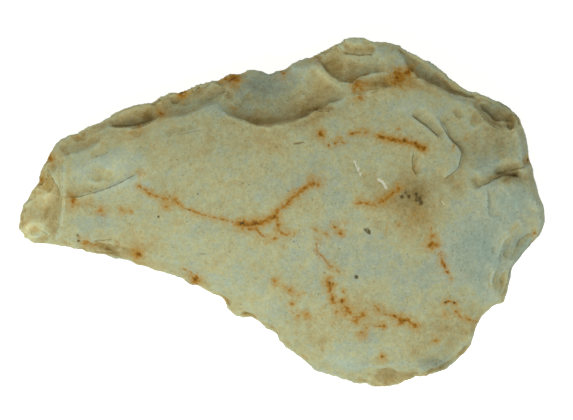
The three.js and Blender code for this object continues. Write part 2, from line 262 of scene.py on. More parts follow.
def passThrough(mesh, kind, **settings):
    # the mesh as one modifier leaves it
    holder = bpy.data.objects.new("holder", mesh)
    bpy.context.scene.collection.objects.link(holder)
    modifier = holder.modifiers.new(kind, kind)
    if "weights" in settings:
        group = holder.vertex_groups.new(name="weights")
        for i in np.nonzero(settings.pop("weights"))[0]:
            group.add([int(i)], 1, "REPLACE")
        modifier.vertex_group = "weights"
    for name, value in settings.items():
        setattr(modifier, name, value)
    ready = holder.evaluated_get(bpy.context.evaluated_depsgraph_get())
    result = bpy.data.meshes.new_from_object(ready)
    bpy.data.objects.remove(holder)
    bpy.data.meshes.remove(mesh)
    return result


def fineMesh(solid):
    rough = bpy.data.meshes.new("stoneRough")
    solid.to_mesh(rough)
    mesh = passThrough(rough, "REMESH", mode="VOXEL", voxel_size=stoneSizes["voxel"] * mm)
    points = readPoints(mesh)
    ridgeGap = nearestOf(points, edgePoints(solid, stoneSizes["ridgeAngle"]))[1]
    passes, share = stoneSizes["softening"]
    points = soften(mesh, points, passes, share * smoothRamp(ridgeGap, *stoneSizes["ridgeFade"]))
    writePoints(mesh, soften(mesh, points, *stoneSizes["lastSoftening"]))
    return mesh


def thinUnderside(mesh):
    # takes points away from the side that lies down until the triangle count is right
    total = sum(len(face.vertices) - 2 for face in mesh.polygons)
    below = readNormals(mesh)[:, 2] < stoneSizes["underside"]
    ratio = stoneSizes["triangles"] / total
    share = stoneSizes["undersideShare"]
    return passThrough(mesh, "DECIMATE", weights=below, ratio=ratio, vertex_group_factor=share)


def cloud(points, size, use, layer=0):
    # soft noise from -1 to 1 with lumps about size across, repeating after 48 of them
    cells = 48
    start = 1000                         # where in the noise the frame's origin lies
    seed = stoneSizes["cloudSeeds"][use] + layer
    table = np.random.default_rng(seed).uniform(-1, 1, (cells, cells, cells))
    place = points / size + start
    base = np.floor(place).astype(int)
    share = place - base
    share = share * share * (3 - 2 * share)
    total = np.zeros(len(points))
    for corner in itertools.product((0, 1), repeat=3):
        x, y, z = ((base + corner) % cells).T
        total += table[x, y, z] * np.prod(np.where(corner, share, 1 - share), axis=1)
    return total


def nearLine(points, line, margin):
    # which points lie in the box round the line, seen from above
    low = np.min(line, axis=0) - margin
    high = np.max(line, axis=0) + margin
    return np.nonzero(np.all((points[:, :2] > low) & (points[:, :2] < high), axis=1))[0]


def besideLine(points, line):
    # distance to a line seen from above, positive on its left, and how far along it from 0 to 1;
    # a line of one point is a spot
    corners = np.array(line, float)
    if len(corners) == 1:
        return np.hypot(*(points[:, :2] - corners[0]).T), np.full(len(points), 0.5)
    nearest = np.full(len(points), np.inf)
    signed = np.zeros(len(points))
    along = np.zeros(len(points))
    lengths = np.hypot(*np.diff(corners, axis=0).T)
    before = 0
    for start, end, length in zip(corners, corners[1:], lengths):
        run = (end - start) / length
        offset = points[:, :2] - start
        share = np.clip(offset @ run, 0, length)
        gap = offset - share[:, None] * run
        distance = np.hypot(*gap.T)
        side = np.where(run[0] * offset[:, 1] - run[1] * offset[:, 0] < 0, -1, 1)
        closer = distance < nearest
        nearest = np.where(closer, distance, nearest)
        signed = np.where(closer, distance * side, signed)
        along = np.where(closer, (before + share) / lengths.sum(), along)
        before += length
    return signed, along


def fadeEnds(along, share):
    return smoothRamp(along, 0, share) * smoothRamp(1 - along, 0, share)


def swellHeight(points):
    height = np.zeros(len(points))
    for i, (depth, size) in enumerate(stoneSizes["swells"]):
        height += depth * cloud(points, size, "swell", i)
    return height


def stepHeight(points, above):
    height = np.zeros(len(points))
    stray = np.zeros(len(points))
    for i, (share, size) in enumerate(stoneSizes["stray"]):
        stray += share * cloud(points, size, "step", i)
    lipShare, lipWidth = stoneSizes["lip"]
    shape = stoneSizes["step"]
    for step in faceSteps:
        near = above[nearLine(points[above], step["line"], step["reach"])]
        side, along = besideLine(points[near], step["line"])
        side = side + stray[near]
        low = np.maximum(side, 0)
        wall = 1 - np.exp(-low / step["soft"])
        rise = 1 - smoothRamp(low, shape["rise"] * step["reach"], step["reach"])
        lip = lipShare * np.exp(-(side / lipWidth) ** 2) * (side < 0)
        height[near] -= step["drop"] * (wall * rise - lip) * fadeEnds(along, shape["fade"])
    shape = stoneSizes["ridge"]
    for rise, wide, line in faceRidges:
        near = above[nearLine(points[above], line, shape["reach"] * wide)]
        side, along = besideLine(points[near], line)
        side = side + shape["stray"] * stray[near]
        crest = np.exp(-np.abs(side / wide) ** shape["power"])
        height[near] += rise * crest * fadeEnds(along, shape["fade"])
    return height


def ringHeight(points):
    height = np.zeros(len(points))
    shape = stoneSizes["ring"]
    stray, straySize = shape["stray"]
    for ring in strikeRings:
        radius = np.hypot(*(points[:, :2] - ring["struck"]).T)
        radius = radius + stray * cloud(points, straySize, "ring")
        inside = smoothRamp(radius, ring["from"], ring["from"] + shape["fadeIn"])
        inside *= 1 - smoothRamp(radius, ring["to"] - shape["fadeOut"], ring["to"])
        height += ring["height"] * inside * np.sin(2 * math.pi * radius / ring["spacing"])
    return height


def cutScar(points, place, outward, along, half, wide, deep, stray):
    # presses the low cap of a ball, stretched to an oval, into the surface at place
    along = along - outward * (along @ outward)
    along /= np.linalg.norm(along)
    across = np.cross(outward, along)
    radius = stoneSizes["blow"]["capSize"] * deep
    spread = math.sqrt(1 - (1 - deep / radius) ** 2)
    reach = max(half, wide) / spread
    near = np.nonzero(np.all(np.abs(points - place) < reach, axis=1))[0]
    offset = points[near] - (place + outward * (radius - deep))
    u = (offset @ along) * spread / half + stray[near, 0]
    v = (offset @ across) * spread / wide + stray[near, 1]
    w = (offset @ outward) / radius
    flat = 1 - u * u - v * v
    hit = (flat > 0) & (w > -np.sqrt(np.maximum(flat, 0))) & (w < stoneSizes["blow"]["capReach"])
    depth = (-np.sqrt(flat[hit]) - w[hit]) * radius
    points[near[hit]] += depth[:, None] * outward


def rimDirections(rim):
    # the way into the stone, seen from above, at each place on the cutting edge
    inward = np.zeros((len(rim), 2))
    for i, place in enumerate(rim[:, :2]):
        nearby = rim[np.hypot(*(rim[:, :2] - place).T) < stoneSizes["rimReach"], :2]
        tangent = np.linalg.svd(nearby - nearby.mean(axis=0), full_matrices=False)[2][0]
        inside = np.array([-tangent[1], tangent[0]])
        inward[i] = inside * np.sign(inside @ (stoneSizes["middle"] - place))
    return inward


def chipEdges(points, normals, rim, inward):
    # flake scars of several sizes, each struck from a place on the cutting edge
    random = np.random.default_rng(stoneSizes["seed"])
    blow = stoneSizes["blow"]
    share, size = blow["stray"]
    stray = [cloud(points, size, use) for use in ("chipAlong", "chipAcross")]
    stray = share * np.stack(stray, axis=1)
    for kind in chipKinds:
        facing = np.nonzero(normals[:, 2] * kind["side"] > blow["facing"])[0]
        tree = treeOf(points[facing] * (1, 1, 0))
        for start in random.choice(len(rim), kind["count"], replace=False):
            turn = random.normal(0, blow["turn"])
            turning = [[math.cos(turn), math.sin(turn)], [-math.sin(turn), math.cos(turn)]]
            along = inward[start] @ turning
            target = rim[start, :2] + along * random.uniform(*kind["inset"])
            index = facing[tree.find((*target, 0))[1]]
            cutScar(points, points[index].copy(), normals[index], np.array([*along, 0]),
                    random.uniform(*kind["half"]), random.uniform(*kind["wide"]),
                    random.uniform(*kind["deep"]), stray)
    return points


def nibbleEdge(points, edgeGap, nearest, rim, inward):
    # draws the cutting edge in where small chips have gone
    random = np.random.default_rng(stoneSizes["seed"] + 1)
    nibbles = stoneSizes["nibbles"]
    bite = np.zeros(len(rim))
    for start in random.choice(len(rim), nibbles["count"], replace=False):
        wide = random.uniform(*nibbles["wide"])
        deep = wide * random.uniform(*nibbles["bite"])
        share = np.hypot(*(rim - rim[start])[:, :2].T) / wide
        bite = np.maximum(bite, deep * (1 - share ** 2))
    bite -= bite.mean()                  # so that the outline keeps its size
    fade = 1 - smoothRamp(edgeGap, 0, nibbles["reach"])
    points[:, :2] += inward[nearest] * (bite[nearest] * fade)[:, None]
    return points


# stains of the stone, with the settings and tables for the painted shade in hollows, along cracks and in
# the patches' lightness
stoneStainsAndShade = {
    "hollows": (30, 0.5, 0.25),      # passes and share of the averaging, and the deepest hollow
    "strokeReach": 3,                # half widths over which a stroke is laid
    "glow": (0.8, 1.3),              # width of a halo: this much, and this share of the half width
    "crackReach": (0.9, 1.5, 1.6),   # a crack fades between the first two and isn't laid beyond
    "crackFade": 0.12,               # share of its length over which its ends fade
    "noCrack": 3.0,                  # the distance written where no crack is near
    "patchReach": 2,                 # half widths over which a patch is laid
    "patchFade": 1.2,                # how fast it fades outwards
    "edgeGapMost": 20,               # farther from the cutting edge isn't told apart
    # iron veins: half width, strength, line
    "veins": [
        (0.55, 0.8, [(-40.3, 7.2), (-38.5, 6.2), (-37, 5.3), (-34.5, 4), (-32, 3.7), (-30.2, 3.5)]),
        (0.42, 0.75, [(-30.2, 3.5), (-29, 2.4), (-27, 0.9), (-24, -0.2), (-19.5, -1.5), (-15, -2.6),
                      (-12, -3.2)]),
        (1.0, 1.0, [(-12.3, -3.3), (-10.3, -3.7), (-7.5, -3.2), (-5, -2.8), (-2.5, -1.6), (-1, -0.3)]),
        (0.8, 0.9, [(-1, -0.3), (1, 1.8), (2.6, 3.4), (4.3, 4.9), (6, 6.3), (8.8, 8.2), (10.4, 7.6)]),
        (0.8, 0.75, [(-9.4, -4.6), (-7, -5), (-5.5, -6.5), (-4, -7.6), (-1.8, -7.5)]),
        (0.8, 0.8, [(-1, -0.3), (-1.1, -3), (-0.8, -5), (0.2, -6.1), (1.7, -6.6)]),
        (0.7, 0.55, [(9.7, -4.8), (10.3, -7), (10, -9), (10.1, -11), (12, -13), (13.5, -15),
                     (16.7, -17.2)]),
        (0.9, 0.85, [(13.4, -19.2), (13.7, -21.5), (14.1, -23.2), (14.9, -25.6)]),
        (0.7, 0.7, [(16.9, -24.8), (17.6, -26.4), (19.5, -28.2), (20.6, -29.8), (22.4, -29.6)]),
        (0.5, 0.6, [(24, -32.5), (26.5, -32.3), (29, -32.1)]),
        (0.6, 0.65, [(26.5, -26.2), (28, -28.7), (30.4, -29.2), (32, -29.8)]),
        (0.9, 0.85, [(31.7, -29.3), (33.5, -30.4), (36, -30.8), (37.9, -32.3)]),
        (0.9, 0.6, [(44.8, -10.6), (45.3, -13.5), (46, -15), (47.2, -17.5)]),
        (0.5, 0.7, [(46, -25.8), (47.7, -25.1), (49.4, -25.8)]),
        (0.6, 0.7, [(49.4, -28), (50.7, -29.8), (53.5, -30.6), (55.2, -31)]),
        (0.8, 0.75, [(21.4, 2.5), (24, 2.5), (26.3, 1.7), (28.5, 3), (30.5, 4.3), (33, 6.3)]),
        (0.6, 0.6, [(13.3, 18.8), (15, 19.2), (16.4, 20), (18.2, 19.3)]),
        (0.65, 0.75, [(19.3, 21.9), (21.5, 22.4), (24.3, 22.2)]),
        (0.95, 1.0, [(27.6, 21.4), (30, 20.6), (32.5, 20.3), (35, 19.9), (37.5, 19.3), (40.2, 18)]),
        (0.6, 0.5, [(-27.8, -16.2), (-26, -16.8), (-24.6, -18)]),
        (0.5, 0.5, [(-56.5, -8), (-53.5, -9.4), (-51.5, -9.2)]),
    ],
    # iron spots: x, y, radius, strength
    "spots": [
        (11.2, 21.9, 1.2, 0.95), (16.4, 20.1, 0.8, 0.85), (40.2, 18, 1.0, 1), (33, 23.3, 0.6, 0.5),
        (28.3, 21.2, 1.1, 1), (21.5, 22.4, 0.7, 0.8), (36, 19.7, 1.0, 1), (9.4, 25.2, 0.6, 0.4),
        (-30.2, 3.4, 1.1, 0.9), (-32.6, 1.5, 0.8, 0.85), (-37, 5.3, 0.9, 0.9), (-34.3, 3.7, 0.7, 0.6),
        (-10.5, -3.6, 1.5, 1), (-8.2, -3.3, 1.0, 0.9), (-1, -0.4, 1.0, 0.9), (4.3, 4.9, 1.1, 0.95),
        (8.8, 8.2, 1.3, 1), (12, 9.6, 0.8, 0.6), (-5.8, -4.6, 1.0, 0.7), (-3.6, -7.5, 0.8, 0.8),
        (12.6, -6, 0.8, 0.75), (15.3, -4, 0.9, 0.75), (16.6, -5.9, 1.0, 0.9), (18.5, -2.6, 0.8, 0.6),
        (3.8, -6, 0.6, 0.5), (1, -6.5, 0.8, 0.7), (10.2, -8, 0.8, 0.6), (0.6, -9.6, 0.5, 0.5),
        (13.5, -20.6, 1.5, 1), (14.2, -23.3, 0.9, 0.8), (17.6, -22.6, 0.7, 0.7), (17.2, -25.3, 1.0, 1),
        (18.4, -27.8, 1.6, 0.9), (15.6, -28.5, 0.8, 0.6), (23, -29.3, 0.9, 0.9), (21, -30.6, 1.3, 0.85),
        (22.8, -34.5, 1.2, 0.9), (29, -32.1, 0.8, 0.9), (24.2, -32.8, 0.9, 0.7), (33.7, -30.5, 1.6, 0.9),
        (15.2, -25.6, 0.7, 0.7), (14.8, -31.6, 0.7, 0.4), (37.6, -32.2, 0.8, 0.7),
        (-1.8, -19.8, 0.8, 0.85), (1, -21.4, 0.6, 0.6), (2.5, -22.2, 0.9, 1), (5, -23.6, 0.6, 0.7),
        (3, -26, 0.7, 0.65), (3.3, -28.6, 0.6, 0.6), (4.8, -29.4, 0.7, 0.8), (7.2, -29.2, 0.9, 0.95),
        (7.5, -36.3, 0.7, 0.45), (28.6, -41, 0.7, 0.95), (43.6, -36.6, 0.8, 0.75), (12, -27, 0.6, 0.4),
        (42.7, -7.2, 1.1, 0.85), (42.1, -9.2, 1.5, 0.95), (43.6, -9.3, 1.2, 0.9), (42.4, -4.8, 0.5, 0.6),
        (47.8, -18.7, 0.5, 0.6), (46.5, -29, 0.8, 0.75), (33, -3.6, 0.7, 0.5), (29.5, -4.2, 0.6, 0.4),
        (33, 6.6, 1.1, 0.8), (24.5, 2.3, 0.9, 0.7), (21.8, 2.5, 0.7, 0.7),
        (-65.5, 15.4, 1.1, 0.9), (-59, 3, 1.1, 0.9), (-54, 2.8, 0.6, 0.5), (-51.2, 0.5, 0.9, 1),
        (-45, 0.6, 0.6, 0.8), (-42.6, 0.3, 0.6, 0.8), (-39.6, 11, 0.7, 0.75), (-34, 27.8, 1.1, 0.8),
        (-40, 24, 0.9, 0.65), (-43, 22, 1.0, 0.5), (-58.3, 21.3, 1.0, 0.55), (-68.3, 9, 1.0, 0.7),
        (-73.6, -4, 1.1, 0.6), (-55.2, -8.7, 0.9, 0.8), (-40.7, -12, 1.3, 0.95), (-41.6, -11.2, 0.8, 0.7),
        (-18.3, -14, 1.0, 0.5), (-24.6, -19, 1.7, 0.95), (-24.9, -19.8, 1.0, 1), (-31.8, -19, 0.6, 0.4),
        (-28, 33.7, 1.3, 1), (-13.8, 37.9, 2.0, 1), (-16, 37.9, 1.2, 0.85), (0.6, 39.3, 1.5, 0.6),
        (10.3, 42.8, 1.1, 0.6), (22, 35.8, 2.0, 1), (22.2, 32.3, 1.5, 0.6), (33.2, 38, 2.6, 1),
        (35.8, 39.6, 1.7, 0.95), (32.2, 37, 1.9, 0.9), (36.6, 36, 1.6, 0.45), (36.8, 40.5, 1.0, 1),
        (70, 14.8, 0.9, 0.6), (72, -6, 1.3, 0.45), (48.5, 18.5, 0.9, 0.4), (-16.3, -25.2, 0.8, 0.6),
        (-13, 29, 1.2, 0.5), (52.5, 20.8, 0.8, 0.5), (37.5, 12.5, 1.5, 0.35), (38, -0.8, 1.6, 0.5),
    ],
    # brown to black specks: x, y, radius, strength
    "specks": [
        (23.8, -5, 0.8, 1), (24.7, -5.6, 0.8, 1), (21.1, -18.3, 0.75, 1), (2, 5.8, 0.5, 0.7),
        (3.5, -8.3, 0.5, 0.8), (5, -10, 0.4, 0.6), (9, -11, 0.45, 0.7), (-13.3, 9, 0.5, 0.6),
        (-23.5, 5, 0.55, 0.7), (-9, 7.7, 0.5, 0.6), (-4, 13.5, 0.5, 0.8), (-2.3, 14.3, 0.5, 0.8),
        (-10, 15, 0.5, 0.6), (-1.3, 17.3, 0.4, 0.5), (34, 4.2, 0.85, 1), (36, 4.3, 0.8, 0.9),
        (35, 5.4, 0.8, 0.9), (38, 4.9, 0.9, 1), (39.1, 4, 0.9, 1), (39.4, 2.6, 0.9, 1),
        (38, 3.2, 0.8, 0.9), (-34.7, -1.4, 0.5, 1), (-31.6, 4.3, 0.5, 0.8), (-27, 0.9, 0.55, 0.9),
        (-25.9, 0.4, 0.5, 0.8), (-57.7, -6.6, 0.6, 0.8), (-57.6, -8.2, 0.6, 0.8), (-11, -3.3, 0.9, 0.7),
        (9, 8, 0.6, 0.7), (17.1, -25.8, 0.6, 0.8), (13.5, -20, 0.9, 0.6), (37.2, 40.2, 0.9, 0.7),
        (46.4, -25.6, 0.5, 0.9), (49, -25.6, 0.5, 0.9), (-25, -20, 0.7, 0.6), (44, -43, 1.5, 0.3),
        (37.6, 19.3, 0.5, 0.7), (34.6, 20, 0.6, 0.6), (24.6, -14.6, 0.4, 0.4), (-6, 36, 0.8, 0.3),
        (28.6, -41, 0.5, 0.7), (2.6, -22.3, 0.5, 0.7), (-51.3, 0.7, 0.5, 0.7), (-28.3, 33.9, 0.8, 0.7),
        (-14.5, 38.6, 1.0, 0.6), (70, 14.8, 0.8, 0.6), (67.5, -7, 0.5, 0.5),
    ],
    # fresh white scratches: half width, strength, line
    "scratches": [
        (0.42, 0.9, [(20.6, 14.3), (21.5, 12), (22.4, 10.2)]), (0.3, 0.6, [(21.6, 13.2), (22.6, 11)]),
        (0.5, 1.0, [(27.3, 9.2), (28.8, 8.2), (29.6, 6.6)]), (0.45, 0.5, [(28, 18), (28.3, 16.6)]),
        (0.5, 0.6, [(45.2, 3.2), (46, 2)]), (0.25, 0.6, [(61.4, 7.1), (64.8, 4.4)]),
        (0.25, 0.6, [(70, 3.3), (73.4, 2)]), (0.25, 0.55, [(31.6, 8), (33.8, 6.6)]),
        (0.3, 0.5, [(8, 24.2), (3, 23.6), (-1, 23.4)]), (0.28, 0.6, [(-61.2, 10), (-61.3, 2),
                    (-62.2, -4)]),
        (0.3, 0.4, [(58, 5.6), (58.2, -1.2)]), (0.25, 0.4, [(60.2, 3.4), (60.4, -1.2)]),
    ],
    # dark hair lines and cracks, most along the steps, drawn dark partly as dirt in the cracks and partly
    # as painted shadow of the step walls: strength, line
    "cracks": [
        (0.9, [(44, 26.5), (46, 23.5), (47.5, 21), (49.7, 18.8), (51, 16.5), (50, 12.3), (46.5, 9.5),
               (44.5, 8.6)]),
        (1.0, [(36.5, 27.5), (40, 25), (43, 22.5), (45, 20.5)]),
        (0.9, [(37.4, 17), (36.9, 14.5), (37.2, 12), (38.4, 10)]),
        (0.6, [(48.3, 28.7), (50.2, 26.2)]),
        (1.0, [(-49, 24.4), (-42, 24.5), (-36, 26.2)]),
        (0.8, [(-62, 4), (-57, 4.3), (-50, 6.3), (-46, 8), (-40, 11.2)]),
        (0.5, [(-53.5, 15.3), (-48, 17.2)]),
        (0.5, [(-33, 21.2), (-28, 22), (-22, 23.2)]),
        (0.45, [(-64, -8.5), (-62.8, -2), (-62, 5), (-62, 15.5)]),
        (0.6, [(-62.2, 5), (-65, 9.5), (-66.9, 12.8)]),
        (0.6, [(-71, -3.2), (-69.5, -4.6), (-66, -6.6)]),
        (0.8, [(17.5, 45.1), (22, 44.5), (26.5, 44.6)]),
        (0.7, [(16, 47.2), (18, 45)]),
        (1.0, [(3.2, 19), (6.6, 19.7)]),
        (0.8, [(10.3, 28.2), (14.2, 28.5)]),
        (0.6, [(-53.5, -8.2), (-47.5, -7.8)]),
        (0.7, [(-41.5, -15.1), (-37, -16.1)]),
        (0.7, [(-31, -18.2), (-29, -18.8)]),
        (0.5, [(-24, -11.7), (-21, -11.9)]),
        (0.7, [(54.5, 6.2), (60, 9), (63, 10.7), (66, 12), (70.5, 13)]),
        (0.4, [(19, 32.8), (24, 33.3), (28, 34.4), (32, 35.8)]),
        (0.5, [(-18, 32.5), (-15.5, 34.5)]),
    ],
    # broad patches: x, y, half widths, yellowness (-1 grey-green, 1 ochre), lightness; the lightness is
    # partly the stone's own tone, partly painted shade on faces turned from the light and painted light
    # on a face turned towards it
    "patches": [
        (-68, 4, 8, 12, 0.5, 0.1), (-66, 7, 3.5, 5, 0.2, 0.6), (-69, 3, 3.5, 3.5, -0.4, 0.5),
        (-71.5, -5, 5, 4, 0.0, 1.2), (-55, 21, 14, 4, 0.3, 0.15), (-57, 4, 7, 4, 0.35, -0.1),
        # (-40, 28) here and (-24, 34) below are darker partly as painted shade on the upper strip that
        # slopes away from the light
        (-47, 11, 9, 6, -0.45, 0.5), (-48, -3, 7, 4, -0.25, -0.05), (-40, 28, 9, 3, 0.5, -0.2),
        (-24, 34, 12, 4, 0.45, -0.25), (-32, 4, 6, 4, 0.45, -0.15), (-40, -10, 7, 4, 0.35, 0.0),
        # (-55, -11.5) is lighter partly as painted light on the strip that faces the light
        (-49, -11, 8, 1.6, 0.9, -0.3), (-55, -11.5, 9, 1.1, -0.3, 0.3), (-22, -10, 9, 6, -0.1, 0.05),
        # (-6, 35) darkens the floor of the big hollow at the top, and (-3, 25.6) and (9, 28.4) below
        # darken the band along its hinge, partly as painted shade
        (-14, -19, 8, 6, -0.25, 0.1), (-6, -26, 7, 5, 0.0, 0.2), (-6, 35, 11, 6, -0.7, -0.75),
        (6, 31, 8, 4, 0.55, -0.1), (-3, 25.6, 14, 1.8, 1.0, -0.5), (9, 28.4, 7, 1.8, 0.9, -0.4),
        (-5, 20, 14, 4, 0.4, 0.0), (12, 38, 3, 4, 0.3, 0.25), (4, 41, 2, 2, -0.3, 0.4),
        (16, 41, 6, 4, 0.65, -0.1), (21, 46.5, 4, 2, 0.2, 0.1), (29, 36, 8, 3, 0.8, 0.0),
        # (47, 40) darkens the upper right bevel, partly as painted shade on top of the shading its slope
        # gives
        (36, 37, 3, 3, 0.6, 0.05), (47, 40, 15, 5, -0.2, -0.45), (44, 34.5, 7, 2.5, 0.35, -0.1),
        # (63, 30) here and (60, 19) below darken faces turned away from the light, partly as painted
        # shade
        (36, 31, 7, 4, -0.5, 0.25), (63, 30, 6, 3, -0.1, -1.0), (63, 26, 6, 1.8, 0.6, -0.35),
        (55, 27, 8, 4, 0.0, -0.2), (60, 19, 9, 6, 0.0, -0.65), (55, 13, 8, 5, -0.2, -0.05),
        # (65, 9.8) darkens the groove at the right, partly as painted shadow of its wall
        (65, 9.8, 6, 2.2, 1.3, -1.3), (66, 2, 9, 7, -0.75, 0.3), (55, -8, 8, 12, -0.75, 0.0),
        (60, -14, 7, 9, -0.9, 0.3), (69, -10, 4, 5, -0.8, -0.25), (64, -21, 3, 4, 0.2, -0.15),
        (73, -4, 2.5, 4, 0.0, 0.0), (37, 5, 7, 6, 1.2, -0.7), (40, -3, 7, 4, 0.6, -0.15),
        (27, 4, 5, 4, 0.4, -0.1), (45, 7, 4, 5, 0.3, -0.1), (30, -12, 12, 8, -0.35, -0.05),
        (20, -8, 8, 5, -0.1, 0.05), (8, -10, 10, 8, -0.15, 0.1), (45, -14, 7, 8, -0.3, 0.05),
        (24, -28, 9, 4, 0.35, -0.05), (36, -20, 8, 6, -0.1, -0.05), (48, -34, 9, 2.5, 0.35, -0.15),
        (48, -28, 6, 3, 0.15, -0.1), (34, -47, 9, 2.2, 0.5, -0.05), (18, -43, 5, 3, -0.6, 0.4),
        (26, -39, 6, 3, -0.3, 0.2), (44, -43, 5, 2.5, -0.2, -0.9), (40, -40, 6, 3, 0.2, -0.05),
        (10, -39, 7, 5, 0.1, 0.0), (3, 8, 14, 7, -0.15, -0.1), (16, 14, 12, 6, -0.1, 0.0),
    ],
}


def strokeField(points, above, strokes):
    # 1 on a stroke's middle line, 0 at its side, -1 one more half width out; the strongest stroke wins
    field = np.full(len(points), -1.0)
    for halfWidth, strength, line in strokes:
        near = above[nearLine(points[above], line, stoneStainsAndShade["strokeReach"] * halfWidth)]
        distance = np.abs(besideLine(points[near], line)[0])
        field[near] = np.maximum(field[near], strength - distance / halfWidth)
    return field


def asStrokes(spots):
    return [(radius, strength, [(x, y)]) for x, y, radius, strength in spots]


def glowField(points, above, strokes):
    # a soft halo round the strokes
    field = np.zeros(len(points))
    least, share = stoneStainsAndShade["glow"]
    for halfWidth, strength, line in strokes:
        width = least + share * halfWidth
        near = above[nearLine(points[above], line, stoneStainsAndShade["strokeReach"] * width)]
        distance = besideLine(points[near], line)[0]
        field[near] = np.maximum(field[near], strength * np.exp(-(distance / width) ** 2))
    return field


def crackFields(points, above):
    # signed distance to the nearest crack, and how strong that crack is here
    side = np.full(len(points), stoneStainsAndShade["noCrack"])
    share = np.zeros(len(points))
    nearby, away, most = stoneStainsAndShade["crackReach"]
    for strength, line in stoneStainsAndShade["cracks"]:
        near = above[nearLine(points[above], line, most)]
        signed, along = besideLine(points[near], line)
        closer = np.abs(signed) < np.abs(side[near])
        fade = strength * fadeEnds(along, stoneStainsAndShade["crackFade"])
        fade *= 1 - smoothRamp(np.abs(signed), nearby, away)
        side[near] = np.where(closer, signed, side[near])
        share[near] = np.where(closer, fade, share[near])
    return side, share


def patchFields(points, above):
    yellow = np.zeros(len(points))
    light = np.zeros(len(points))
    for x, y, wide, deep, yellowness, lightness in stoneStainsAndShade["patches"]:
        reach = np.array([wide, deep]) * stoneStainsAndShade["patchReach"]
        corners = [(x, y) - reach, (x, y) + reach]
        near = above[nearLine(points[above], corners, 0)]
        offset = (points[near, :2] - (x, y)) / (wide, deep)
        weight = np.exp(-stoneStainsAndShade["patchFade"] * (offset ** 2).sum(axis=1))
        yellow[near] += yellowness * weight
        light[near] += lightness * weight
    return yellow, light


def hollowField(mesh, points):
    # how far each point lies under the surface averaged round it, in mm; below 0 on ridges. The material
    # darkens the hollows with it as painted shade and lightens the ridges as painted light
    passes, share, most = stoneStainsAndShade["hollows"]
    around = soften(mesh, points.copy(), passes, share)
    depth = ((around - points) * readNormals(mesh)).sum(axis=1)
    return np.clip(depth, -most, most)


def writeField(mesh, name, values):
    attribute = mesh.attributes.new(name, "FLOAT", "POINT")
    attribute.data.foreach_set("value", values.astype(np.float32))


def carveStone(mesh, solid):
    # gives the smooth fine mesh its flake scars, steps and grain
    points = readPoints(mesh)
    normals = readNormals(mesh)
    smooth = points.copy()
    rim = edgePoints(solid, stoneSizes["rimAngle"])
    inward = rimDirections(rim)
    nearest, edgeGap = nearestOf(points, rim)
    reach, size = stoneSizes["wander"]
    away = reach * smoothRamp(edgeGap, *stoneSizes["wanderFade"])
    points[:, 0] += away * cloud(points, size, "wanderX")
    points[:, 1] += away * cloud(points, size, "wanderY")
    points = chipEdges(points, normals, rim, inward)
    writePoints(mesh, points)
    normals = readNormals(mesh)
    above = np.nonzero(normals[:, 2] > stoneSizes["faceUp"])[0]
    height = swellHeight(points) + ringHeight(points) + stepHeight(points, above)
    points += normals * height[:, None]
    move = points - smooth
    share, least = stoneSizes["mostMove"]
    tiny = 1e-6                          # where nothing moved, against dividing by 0
    limit = (share * edgeGap + least) / (np.linalg.norm(move, axis=1) + tiny)
    points = smooth + move * np.minimum(1, limit)[:, None]
    points = nibbleEdge(points, edgeGap, nearest, rim, inward)
    low, high = np.array(cadBox) / mm
    writePoints(mesh, np.clip(points, low, high))
    return rim


def makeStone():
    solid = copyOfSolid("hand_axe")
    mesh = fineMesh(solid)
    print("fine mesh:", len(mesh.vertices), "points")
    rim = carveStone(mesh, solid)
    solid.free()
    mesh = thinUnderside(mesh)
    mesh.name = "hand_axe_stone"
    print("stone carved:", sum(len(face.vertices) - 2 for face in mesh.polygons), "triangles")

    points = readPoints(mesh)
    above = np.nonzero(readNormals(mesh)[:, 2] > stoneSizes["faceUp"])[0]
    veins = stoneStainsAndShade["veins"]
    spots = asStrokes(stoneStainsAndShade["spots"])
    writeField(mesh, "iron", strokeField(points, above, veins + spots))
    writeField(mesh, "ironGlow", glowField(points, above, veins + spots))
    writeField(mesh, "speck", strokeField(points, above, asStrokes(stoneStainsAndShade["specks"])))
    writeField(mesh, "scratch", strokeField(points, above, stoneStainsAndShade["scratches"]))
    side, share = crackFields(points, above)
    writeField(mesh, "crackSide", side)
    writeField(mesh, "crackShare", share)
    yellow, light = patchFields(points, above)
    writeField(mesh, "yellow", yellow)
    writeField(mesh, "light", light)
    writeField(mesh, "hollow", hollowField(mesh, points))
    writeField(mesh, "edgeGap", np.minimum(nearestOf(points, rim)[1], stoneStainsAndShade["edgeGapMost"]))
    for face in mesh.polygons:
        face.use_smooth = True
    stone = bpy.data.objects.new("hand_axe_stone", mesh)
    bpy.context.scene.collection.objects.link(stone)
    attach(stone, "root")
    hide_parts("hand_axe")
    # besides the stains, the fields laid include those for painted shade and painted light
    print("stains laid")
    return stone


def toLinear(hexColour):
    values = [int(hexColour[i:i + 2], 16) / 255 for i in (1, 3, 5)]
    return [v / 12.92 if v <= 0.04045 else ((v + 0.055) / 1.055) ** 2.4 for v in values] + [1]


def addNode(tree, kind, inputs, output=0, **settings):
    # an input is a plain value or the output of another node
    node = tree.nodes.new("ShaderNode" + kind)
    for name, value in settings.items():
        setattr(node, name, value)
    for socket, value in inputs.items():
        if isinstance(value, bpy.types.NodeSocket):
            tree.links.new(value, node.inputs[socket])
        else:
            node.inputs[socket].default_value = value
    return node.outputs[output]


